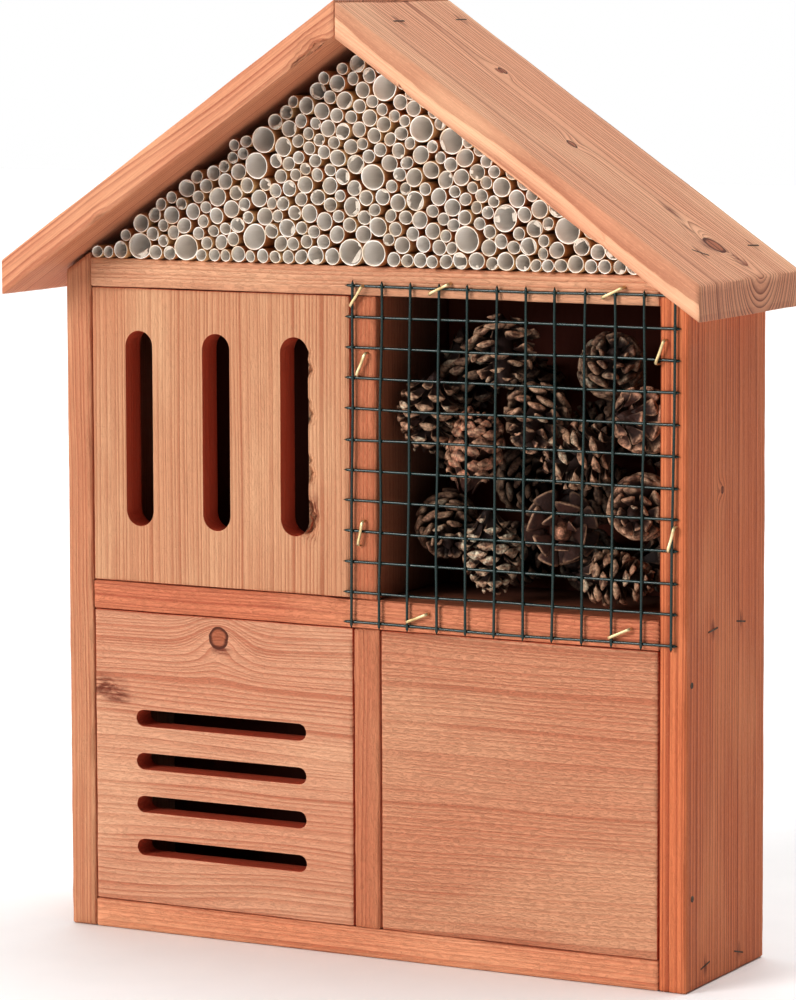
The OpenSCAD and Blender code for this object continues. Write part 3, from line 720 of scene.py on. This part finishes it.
# %% Reed finish
def reed_finish():
    made, tree, shader, place = start_material("reed_cane")
    zone = attribute(tree, "zone")
    tint = attribute(tree, "tint")
    where = place.outputs["Object"]
    streak = noise(tree, where, (1400, 40, 1400), 3, 0.6)
    patch = noise(tree, where, (130, 40, 130), 2)
    skin = mix(tree, streak, colour(208, 142, 88), colour(152, 90, 52))
    skin = mix(tree, tint, skin, colour(222, 188, 138))
    rim = mix(tree, ramp(tree, patch, (0.4, 0.0), (0.7, 1.0)), colour(255, 251, 243), colour(240, 222, 198))
    bore = mix(tree, tint, colour(250, 245, 240), colour(240, 232, 224))
    bore = layer(tree, bore, colour(230, 219, 206), streak, 0.3)
    base = mix(tree, ramp(tree, zone, (0.35, 0.0), (0.8, 1.0)), skin, rim)
    base = mix(tree, ramp(tree, times(tree, zone, 0.5), (0.6, 0.0), (0.9, 1.0)), base, bore)
    finish_shader(tree, shader, base, calc(tree, "MULTIPLY_ADD", streak, 0.25, 0.42), streak, 0.12 * MM)
    return made


# %% Reeds
REED_OUTLINE = np.array([
    # radius as a share, wall taken off in mm, distance from the front in mm or from the back (negative), zone
    (0, 0, -0.0, 0), (1, 0, -0.0, 0), (1, 0, 2.2, 0), (1, 0.04, 0.25, 0.25), (1, 0.16, 0, 1),
    (1, 0.36, 0.03, 1), (1, 0.5, 0.35, 1.3), (1, 0.56, 2.5, 2), (1, 0.6, -8, 2), (0, 0, -8, 2),
])
BACK_ROWS = [0, 1, 8, 9]


def reeds(name, stands_for, sides, material, seed):
    """Turned canes in the places of the CAD's tubes. Point = middle + radius(row, angle), with the front
    rows tilted by a slanting saw cut."""
    rng = np.random.default_rng(seed)
    tubes = islands(stands_for)
    low = np.array([t.min(0) for t in tubes])
    high = np.array([t.max(0) for t in tubes])
    middle, radius = (low + high) / 2, (high[:, 0] - low[:, 0]) / 2
    count, rows = len(tubes), len(REED_OUTLINE)
    angle = np.linspace(0, 2 * pi, sides, endpoint=False)
    oval = rng.uniform(0, 0.045, (count, 1)) * np.cos(2 * (angle - rng.uniform(0, pi, (count, 1))))
    oval += rng.normal(0, 0.008, (count, sides))
    share, wall, at, zone = REED_OUTLINE.T
    wall_size = (radius / (3 * MM)) ** 0.5
    out = share * radius[:, None] - share * wall * MM * wall_size[:, None]
    out = out[:, :, None] * (1 + oval[:, None, :])
    along = low[:, 1:2] + at * MM
    along[:, BACK_ROWS] = high[:, 1:2] + at[BACK_ROWS] * MM
    slant = rng.normal(0, 0.09, (count, 1)) * np.cos(angle - rng.uniform(0, 2 * pi, (count, 1)))
    front = np.ones(rows)
    front[BACK_ROWS] = 0
    tilt = slant[:, None, :] * radius[:, None, None] * front[:, None]
    points = np.stack([middle[:, 0, None, None] + out * np.cos(angle),
                       np.maximum(along[:, :, None] + tilt, low[:, 1].min() - 0.3 * MM),
                       middle[:, 2, None, None] + out * np.sin(angle)], -1)
    zones = np.broadcast_to(zone[None, :, None], (count, rows, sides))
    tints = np.broadcast_to(rng.uniform(0, 1, (count, 1, 1)), (count, rows, sides))
    make_piece(name, points.reshape(-1, 3), skin_corners(count, rows, sides), material, [stands_for],
               {"zone": zones, "tint": tints})
    return middle, radius, low[:, 1]


cane = reed_finish()
thin = reeds("thin_reeds", "reeds_thin", 12, cane, 1)
medium = reeds("middling_reeds", "reeds_medium", 16, cane, 2)
wide = reeds("wide_canes", "reeds_wide", 28, cane, 3)

# %% [markdown]
# ## Torn pith
# The saw tears the soft white lining out of many reeds, and leaves curled flakes at their mouths. A flake
# is a small curled sheet with a ragged outline, set on the rim and leaning over the bore. It is one
# closed skin: a flat, bent ring section, much wider than it is thick.

# %% Pith flakes
def pith_finish():
    made, tree, shader, place = start_material("reed_pith")
    where = place.outputs["Object"]
    fluff = noise(tree, where, (1800, 700, 1800), 3, 0.7)
    base = mix(tree, fluff, colour(242, 234, 222), colour(190, 174, 156))
    finish_shader(tree, shader, base, calc(tree, "MULTIPLY_ADD", fluff, 0.2, 0.7), fluff, 0.2 * MM)
    return made


def pith_flakes(share=0.34, seed=5):
    """Flakes on a share of the reeds. A flake starts on the rim and arches over the mouth of the bore."""
    rng = np.random.default_rng(seed)
    middle = np.concatenate([thin[0], medium[0], wide[0]])
    radius = np.concatenate([thin[1], medium[1], wide[1]])
    front = np.concatenate([thin[2], medium[2], wide[2]])
    chosen = rng.permutation(np.flatnonzero(rng.uniform(size=len(radius)) < share))
    chosen = np.concatenate([chosen, rng.choice(chosen, len(chosen))])
    count, rings, sides = len(chosen), 6, 8
    r = radius[chosen][:, None, None]
    t = np.linspace(0, 1, rings)[None, :, None]
    turn = rng.uniform(0, 2 * pi, (count, 1, 1))
    length = r * rng.uniform(0.12, 0.6, (count, 1, 1))
    width = r * rng.uniform(0.35, 1.3, (count, 1, 1)) * np.sin(pi * (0.2 + 0.7 * t)) ** 0.6
    width = width * (1 + 0.28 * rng.normal(size=(count, rings, 1)))
    around = np.linspace(0, 2 * pi, sides, endpoint=False)[None, None, :]
    thick = 0.09 * MM * np.sin(pi * t) ** 0.5
    inward = 0.95 * r - length * t
    curl = rng.uniform(-0.3, 0.5, (count, 1, 1)) * MM
    aside = width * np.cos(around) / 2 * np.ones_like(t)
    out = -0.35 * MM + curl * np.sin(pi * t) + thick * np.sin(around) + (aside / r) ** 2 * 0.5 * MM
    inward = inward - (aside / r) ** 2 * 0.45 * r
    x = inward * np.cos(turn) - aside * np.sin(turn)
    z = inward * np.sin(turn) + aside * np.cos(turn)
    spot = middle[chosen]
    points = np.stack([spot[:, 0, None, None] + x, front[chosen][:, None, None] + 0.35 * MM + out,
                       spot[:, 2, None, None] + z], -1)
    ends = points[:, [0, -1]].mean(2, keepdims=True)
    points[:, [0, -1]] = ends
    make_piece("torn_pith", points.reshape(-1, 3), skin_corners(count, rings, sides), pith_finish())


pith_flakes()

# %% [markdown]
# ## Pine cones
# A cone's scales spiral up its core, each turned by the golden angle, 137.5 degrees, from the last. A
# scale starts thin at the core, widens, and ends in a thick, pale shield with a dull point. Dry cones
# open: the scales of the lower part stand out almost square to the core, and those near the tip lie
# closer. One cone is still nearly shut. One is quite open and seen end-on, like a flower, with fewer,
# wider and thinner scales. The finish carries painted shade: it gets darker towards the back of the
# chamber, for the deep shade in there.

# %% Cone finish
def cone_finish():
    made, tree, shader, place = start_material("pine_scale")
    tip = attribute(tree, "tip")
    tone = attribute(tree, "tone")
    where = place.outputs["Object"]
    grain = noise(tree, where, (700, 700, 700), 4, 0.65)
    patch = noise(tree, where, (330, 330, 330), 3, 0.6)
    margin = attribute(tree, "margin")
    # Painted shade: this value grows towards the back of the chamber, where the cones lie in deep shade.
    depth = calc(tree, "MULTIPLY_ADD", node(tree, "SeparateXYZ", {0: where}).outputs[1], 24.0, 0.3)
    body = mix(tree, tone, colour(44, 24, 17), colour(80, 42, 28))
    shield = mix(tree, tone, colour(218, 190, 158), colour(232, 166, 134))
    shield = mix(tree, ramp(tree, tone, (0.0, 1.0), (0.22, 0.0)), shield, colour(250, 236, 208))
    shield = mix(tree, ramp(tree, patch, (0.38, 0.0), (0.6, 1.0)), shield, colour(112, 74, 54))
    base = mix(tree, ramp(tree, tip, (0.68, 0.0), (0.88, 1.0)), body, shield)
    rim = ramp(tree, margin, (0.7, 0.0), (1.0, 1.0))
    pale = times(tree, rim, ramp(tree, tip, (0.35, 0.0), (0.6, 0.8)))
    base = mix(tree, pale, base, colour(214, 172, 140))
    base = mix(tree, ramp(tree, grain, (0.45, 0.0), (0.72, 0.85)), base, colour(46, 28, 19))
    # Painted shade towards the back, from the depth value above.
    base = mix(tree, ramp(tree, depth, (0.0, 0.0), (1.0, 0.9)), base, colour(34, 18, 13))
    finish_shader(tree, shader, base, calc(tree, "MULTIPLY_ADD", grain, 0.3, 0.5), grain, 0.9 * MM)
    return made


# %% Cones
# Lean of the tip from upright, heading, how far open, and tone from grey-brown to reddish.
CONES = [
    (170, 180, 0.80, 0.3), (165, 0, 0.6, 0.3), (150, -60, 0.95, 0.3), (15, 0, 0.15, 1.0),
    (130, -90, 0.85, 0.4), (60, -60, 0.6, 0.2), (110, 200, 0.85, 0.3), (100, 70, 0.6, 0.6),
    (176, 0, 0.55, 0.0), (90, -62, 1.0, 0.9), (120, -60, 0.6, 0.3), (100, -80, 0.7, 0.4),
    (92, 5, 0.7, 0.3), (90, 10, 0.6, 0.2), (90, 70, 0.6, 0.2), (90, 30, 0.6, 0.2),
    (20, 0, 0.6, 0.2), (100, -20, 0.6, 0.3), (80, 20, 0.6, 0.3), (15, 0, 0.6, 0.3),
    (160, 40, 0.6, 0.3), (75, 200, 0.6, 0.3),
]
GOLDEN_ANGLE = radians(137.508)
SCALE_AT = np.array([0, 0.25, 0.5, 0.72, 0.86, 0.95, 1.0, 1.01])
SCALE_WIDTH = np.array([0.3, 0.42, 0.62, 0.9, 1.0, 0.95, 0.62, 0])
SCALE_THICK = np.array([1.0, 0.6, 0.55, 0.8, 1.7, 2.6, 1.7, 0])
scale_finish = cone_finish()


def pine_cone(number, lean, heading, openness, tone):
    """Scales on a core. In the cone's own frame, a scale's middle line leaves the core at a height and an
    angle that both change along the cone, and curls outwards; the section across it is a flat oval,
    slightly cupped."""
    node_name = f"pine_cone_{number:02d}"
    rng = np.random.default_rng(100 + number)
    lean, heading = radians(lean), radians(heading)
    axis = np.array([sin(lean) * cos(heading), sin(lean) * sin(heading), cos(lean)])
    solid = islands(node_name)[0]
    middle = (solid.min(0) + solid.max(0)) / 2
    height = (solid - middle) @ axis
    middle = middle + axis * (height.min() + height.max()) / 2
    length = height.max() - height.min()
    girth = np.linalg.norm(np.cross(solid - middle, axis), axis=1).max()

    in_flower = openness >= 1
    count, sides = (19 if in_flower else int(40 + 30 * (1 - openness))), 10
    order = np.arange(count)[:, None]
    s = 0.05 + 0.9 * ((order + 0.5) / count) ** 0.9
    envelope = girth * np.sin(pi * np.clip(s, 0.04, 0.97) ** 0.78) ** 0.6
    core = 0.26 * envelope + 0.6 * MM
    opening = 1 if in_flower else 0.25 + 0.75 * np.clip((s - 0.05) / 0.4, 0, 1)
    steep = radians(16) + openness * radians(66) * opening * (1 - 0.6 * s**1.8)
    steep = steep + rng.normal(0, 0.1, (count, 1))
    reach = np.maximum(envelope - core, 2.5 * MM) / np.sin(np.minimum(steep + 0.25, 1.5)) * 0.98
    reach = np.minimum(reach, 0.36 * length) * rng.uniform(0.93, 1.04, (count, 1))
    angle = steep + (SCALE_AT - 0.45) * (0.35 + 0.55 * openness)
    angle = angle + (1 - openness) * radians(50) * np.clip((SCALE_AT - 0.65) / 0.3, 0, 1)
    gap = np.diff(SCALE_AT, prepend=0)
    radial = core + np.cumsum(reach * gap * np.sin(angle), 1)
    rise = (s - 0.5) * length * 0.92 + np.cumsum(reach * gap * np.cos(angle), 1) - 0.28 * reach
    width = SCALE_WIDTH * np.clip(0.7 * envelope, 2.2 * MM, 9 * MM) * rng.uniform(0.8, 1.1, (count, 1))
    width = width * (1.2 if in_flower else 1)
    thick = SCALE_THICK * MM * np.clip(envelope / (12 * MM), 0.45, 1.05) * (0.6 if in_flower else 1)
    thick = thick * (1 + (1 - openness) * (SCALE_AT > 0.8))
    around = np.linspace(0, 2 * pi, sides, endpoint=False)
    aside = width[..., None] * np.cos(around) / 2
    crest = np.sin(around) * (1 - 0.5 * np.abs(np.cos(around)))
    cup = (aside / np.maximum(width[..., None], 1e-6)) ** 2 * 2.6 * MM
    lift_off = thick[..., None] * crest * 0.62 - cup
    r = radial[..., None] - lift_off * np.cos(angle)[..., None]
    h = rise[..., None] + lift_off * np.sin(angle)[..., None]
    turn = order[..., None] * GOLDEN_ANGLE + rng.normal(0, 0.06, (count, 1, 1))
    x = r * np.cos(turn) - aside * np.sin(turn)
    y = r * np.sin(turn) + aside * np.cos(turn)
    local = np.stack([x, y, h], -1)
    local[:, [0, -1]] = local[:, [0, -1]].mean(2, keepdims=True)

    side = np.cross(axis, X if abs(axis[0]) < 0.9 else Y)
    side /= np.linalg.norm(side)
    basis = np.array([side, np.cross(axis, side), axis])
    points = local.reshape(-1, 3) @ basis + middle
    tips = np.broadcast_to(SCALE_AT[None, :, None] * (0.6 if in_flower else 1), aside.shape)
    tones = np.broadcast_to(np.clip(tone + rng.normal(0, 0.15, (count, 1, 1)), 0, 1), aside.shape)
    end_rim = in_flower * (SCALE_AT[:, None] > 0.94)
    margins = np.broadcast_to(np.maximum(np.abs(np.cos(around)), end_rim), aside.shape)
    corners = skin_corners(count, len(SCALE_AT), sides)

    heart_rings = 9
    t = np.linspace(0, 1, heart_rings)
    core_r = 0.3 * girth * np.sin(pi * t) ** 0.6
    heart = np.stack([core_r[:, None] * np.cos(around), core_r[:, None] * np.sin(around),
                      np.repeat((t[:, None] - 0.5) * length * 0.94, sides, 1)], -1).reshape(-1, 3)
    corners = np.concatenate([corners, skin_corners(1, heart_rings, sides) + len(points)])
    points = np.concatenate([points, heart @ basis + middle])
    tips = np.concatenate([tips.ravel(), np.repeat(t * in_flower, sides)])
    tones = np.concatenate([tones.ravel(), np.full(heart_rings * sides, tone)])
    margins = np.concatenate([margins.ravel(), np.zeros(heart_rings * sides)])
    make_piece(f"cone_{number:02d}", points, corners, scale_finish, [node_name],
               {"tip": tips, "tone": tones, "margin": margins})


for number, row in enumerate(CONES, 1):
    pine_cone(number, *row)

# %% [markdown]
# ## Wire mesh
# Twelve upright and twelve level wires are welded at every crossing and dipped in dark green plastic,
# which thickens where they meet. Sheet mesh is cut from a roll, so each wire wanders by a fraction of a
# millimetre. A wire is a round section carried along its own gently wavy line.

# %% Wire finish and wires
def coated_wire():
    made, tree, shader, place = start_material("green_coating")
    where = place.outputs["Object"]
    orange_peel = noise(tree, where, (1600, 1600, 1600), 2)
    patch = noise(tree, where, (60, 60, 60), 2)
    base = mix(tree, patch, colour(6, 36, 34), colour(12, 54, 50))
    finish_shader(tree, shader, base, calc(tree, "MULTIPLY_ADD", patch, 0.2, 0.16), orange_peel, 0.12 * MM)
    shader.inputs["Specular IOR Level"].default_value = 0.7
    return made


def wires(name, stands_for, along, crossings, material, seed):
    """Round wires between the ends of the CAD rods. Point = line + wander + radius x (cos, sin) around
    it."""
    rng = np.random.default_rng(seed)
    rods = islands(stands_for)
    half = [rod[:, along] > rod[:, along].mean() for rod in rods]
    start = np.array([rod[~upper].mean(0) for rod, upper in zip(rods, half)])
    end = np.array([rod[upper].mean(0) for rod, upper in zip(rods, half)])
    size = (rods[0][:, 1].max() - rods[0][:, 1].min()) / 2
    count, rings, sides = len(rods), 100, 10
    t = np.linspace(0, 1, rings)
    line = start[:, None] + (end - start)[:, None] * t[:, None]
    aside = 2 - along
    for _ in range(4):
        pace = rng.uniform(3, 14, (count, 1))
        line[:, :, aside] += 0.11 * MM * np.sin(pace * t + rng.uniform(0, 6, (count, 1)))
    gap = np.abs(line[:, :, along, None] - crossings).min(-1)
    swell = size * (1 + 0.2 * np.exp(-(gap / (0.9 * MM)) ** 2))
    edge = np.minimum(t, 1 - t) * np.linalg.norm(end - start, axis=1)[:, None]
    rounding = np.clip(edge / (0.5 * MM), 0, 1)
    swell = swell * np.sqrt(rounding * (2 - rounding))
    around = np.linspace(0, 2 * pi, sides, endpoint=False)
    points = np.repeat(line[:, :, None], sides, 2)
    points[..., aside] += swell[..., None] * np.cos(around)
    points[..., 1] += swell[..., None] * np.sin(around)
    make_piece(name, points.reshape(-1, 3), skin_corners(count, rings, sides), material,
               [stands_for])


green = coated_wire()
upright_x = np.sort([rod[:, 0].mean() for rod in islands("mesh_uprights")])
cross_z = np.sort([rod[:, 2].mean() for rod in islands("mesh_crosswires")])
wires("upright_wires", "mesh_uprights", 2, cross_z, green, 7)
wires("level_wires", "mesh_crosswires", 0, upright_x, green, 8)

# %% [markdown]
# ## Staples, nails and the hanger
# Nine bright staples hold the mesh. Each is flat wire bent twice: out of the wood, over the mesh and back
# in. The bends are round, and the crown is pulled in a little at its middle by the gun's blow. The other
# staples, the pins, the nails and the hanger with its screws keep their CAD shapes and take a finish.

# %% Metal finishes
def metal(name, bright, dull, rough=0.35, stain=None):
    """A worn metal: fine drawn scratches, duller patches and, where asked, a stain that has crept over
    it."""
    made, tree, shader, place = start_material(name)
    where = place.outputs["Object"]
    scratch = noise(tree, where, (2600, 2600, 400), 3, 0.7)
    patch = noise(tree, where, (240, 240, 240), 3, 0.6)
    base = mix(tree, ramp(tree, patch, (0.35, 0.0), (0.7, 1.0)), colour(*bright), colour(*dull))
    if stain:
        base = mix(tree, ramp(tree, scratch, (0.55, 0.0), (0.75, 1.0)), base, colour(*stain))
    shader.inputs["Metallic"].default_value = 0.9
    finish_shader(tree, shader, base, calc(tree, "MULTIPLY_ADD", patch, 0.3, rough), scratch, 0.05 * MM, 0.4)
    return made


# %% Mesh staples
def mesh_staples(material):
    """Flat wire carried over a bridge-shaped path. The path's corners are rounded by carrying each point
    of the path to the mean of its neighbours a few times."""
    sections, rings, sides = islands("mesh_staples"), 40, 8
    around = np.linspace(0, 2 * pi, sides, endpoint=False) + pi / sides
    across = 0.62 * MM * np.clip(1.3 * np.cos(around), -1, 1)
    through = 0.34 * MM * np.clip(1.3 * np.sin(around), -1, 1)
    grids = []
    for solid in sections:
        front = solid[:, 1].min()
        crown = solid[solid[:, 1] < front + 0.7 * MM]
        middle = crown.mean(0)
        _, _, axes = np.linalg.svd((crown - middle)[:, [0, 2]])
        along = np.array([axes[0][0], 0, axes[0][1]])
        half = np.abs((crown - middle) @ along).max() - 0.3 * MM
        depth = solid[:, 1].max() - front
        corner_path = np.array([[-half, depth], [-half, 0.3 * MM], [half, 0.3 * MM], [half, depth]])
        lengths = np.concatenate([[0], np.cumsum(np.linalg.norm(np.diff(corner_path, axis=0), axis=1))])
        walk = np.linspace(0, lengths[-1], rings - 2)
        path = np.column_stack([np.interp(walk, lengths, corner_path[:, k]) for k in range(2)])
        for _ in range(3):
            path[1:-1] = (path[:-2] + 2 * path[1:-1] + path[2:]) / 4
        path[:, 1] += 0.25 * MM * np.exp(-(path[:, 0] / (0.5 * half)) ** 2) * (path[:, 1] < 2 * MM)
        heading = np.gradient(path, axis=0)
        heading /= np.linalg.norm(heading, axis=1, keepdims=True)
        square = np.column_stack([-heading[:, 1], heading[:, 0]])
        wide = np.cross(along, Y)
        flat = path[:, None] + square[:, None] * through[None, :, None]
        ring = middle * [1, 0, 1] + flat[..., :1] * along + wide * across[None, :, None]
        ring[..., 1] = front + flat[..., 1]
        caps = ring[[0, -1]].mean(1, keepdims=True).repeat(sides, 1)
        grids.append(np.concatenate([caps[:1], ring, caps[1:]]))
    points = np.stack(grids)
    make_piece("bright_staples", points.reshape(-1, 3), skin_corners(len(grids), rings, sides), material,
               ["mesh_staples"])


mesh_staples(metal("brass_staple", (234, 216, 176), (192, 168, 124), 0.35))
driven = metal("driven_steel", (120, 104, 92), (78, 62, 52), 0.45, (92, 50, 30))
for name in ("roof_staples", "frame_staples", "panel_pins"):
    dress(name, driven)
dress("back_nails", metal("zinc_nail", (196, 198, 200), (140, 142, 144), 0.35))
dress("hanger_plate", metal("zinc_plate", (206, 208, 210), (160, 164, 168), 0.3))
dress("hanger_screws", metal("zinc_screw", (214, 210, 196), (170, 160, 130), 0.28))

# %% [markdown]
# ## Floor and light
# A plain white floor, and the light of a bright studio: a broad light from the front left, a softer one
# from overhead, and a pale surround that is brightest at the back, so that the right side of the house
# falls into soft shade.

# %% Floor
def floor_finish():
    made, tree, shader, place = start_material("floor_paint")
    speck = noise(tree, place.outputs["Object"], (30, 30, 30), 2)
    base = mix(tree, speck, colour(250, 250, 250), colour(244, 244, 244))
    finish_shader(tree, shader, base, calc(tree, "MULTIPLY_ADD", speck, 0.1, 0.7), speck, 0.02 * MM)
    return made


side_lines = np.linspace(-6, 6, 13)
floor_x, floor_y = np.meshgrid(side_lines, side_lines, indexing="ij")
floor_mesh = bpy.data.meshes.new("floor")
numbers = np.arange(floor_x.size).reshape(floor_x.shape)
squares = [numbers[:-1, :-1], numbers[1:, :-1], numbers[1:, 1:], numbers[:-1, 1:]]
squares = np.stack(squares, -1).reshape(-1, 4)
flat = np.column_stack([floor_x.ravel(), floor_y.ravel(), np.full(floor_x.size, -0.1 * MM)])
floor_mesh.from_pydata(flat.tolist(), [], squares.tolist())
floor_mesh.materials.append(floor_finish())
floor = add_object("floor", floor_mesh)


# %% Lamps and surround
def sunlight(name, toward_lamp, softness, strength):
    """Light from one side of the sky, as even over the floor as over the house."""
    data = bpy.data.lights.new(name, "SUN")
    data.angle, data.energy = radians(softness), strength
    made = add_object(name, data)
    made.rotation_euler = (-Vector(toward_lamp)).to_track_quat("-Z", "Y").to_euler()
    print(name, "light, strength", strength)


sunlight("key", (-0.5, -0.85, 0.36), 30, 2.45)
sunlight("top", (0.16, 0.1, 1.0), 45, 1.8)

world = bpy.data.worlds.new("studio")
bpy.context.scene.world = world
world.use_nodes = True
tree = world.node_tree
tree.nodes.clear()
toward = node(tree, "TexCoord").outputs["Generated"]
behind = node(tree, "VectorMath", {0: toward, 1: (-0.5, 0.87, 0.0)}, operation="DOT_PRODUCT").outputs["Value"]
shade = ramp(tree, calc(tree, "MULTIPLY_ADD", behind, 0.5, 0.5), (0.5, 0.22), (0.82, 1.0))
backdrop = node(tree, "Background", {0: shade, 1: 1.0})
node(tree, "OutputWorld", {0: backdrop.outputs[0]})

view = bpy.context.scene.view_settings
view.view_transform = "Standard"
view.look = "None"
view.gamma = 0.82
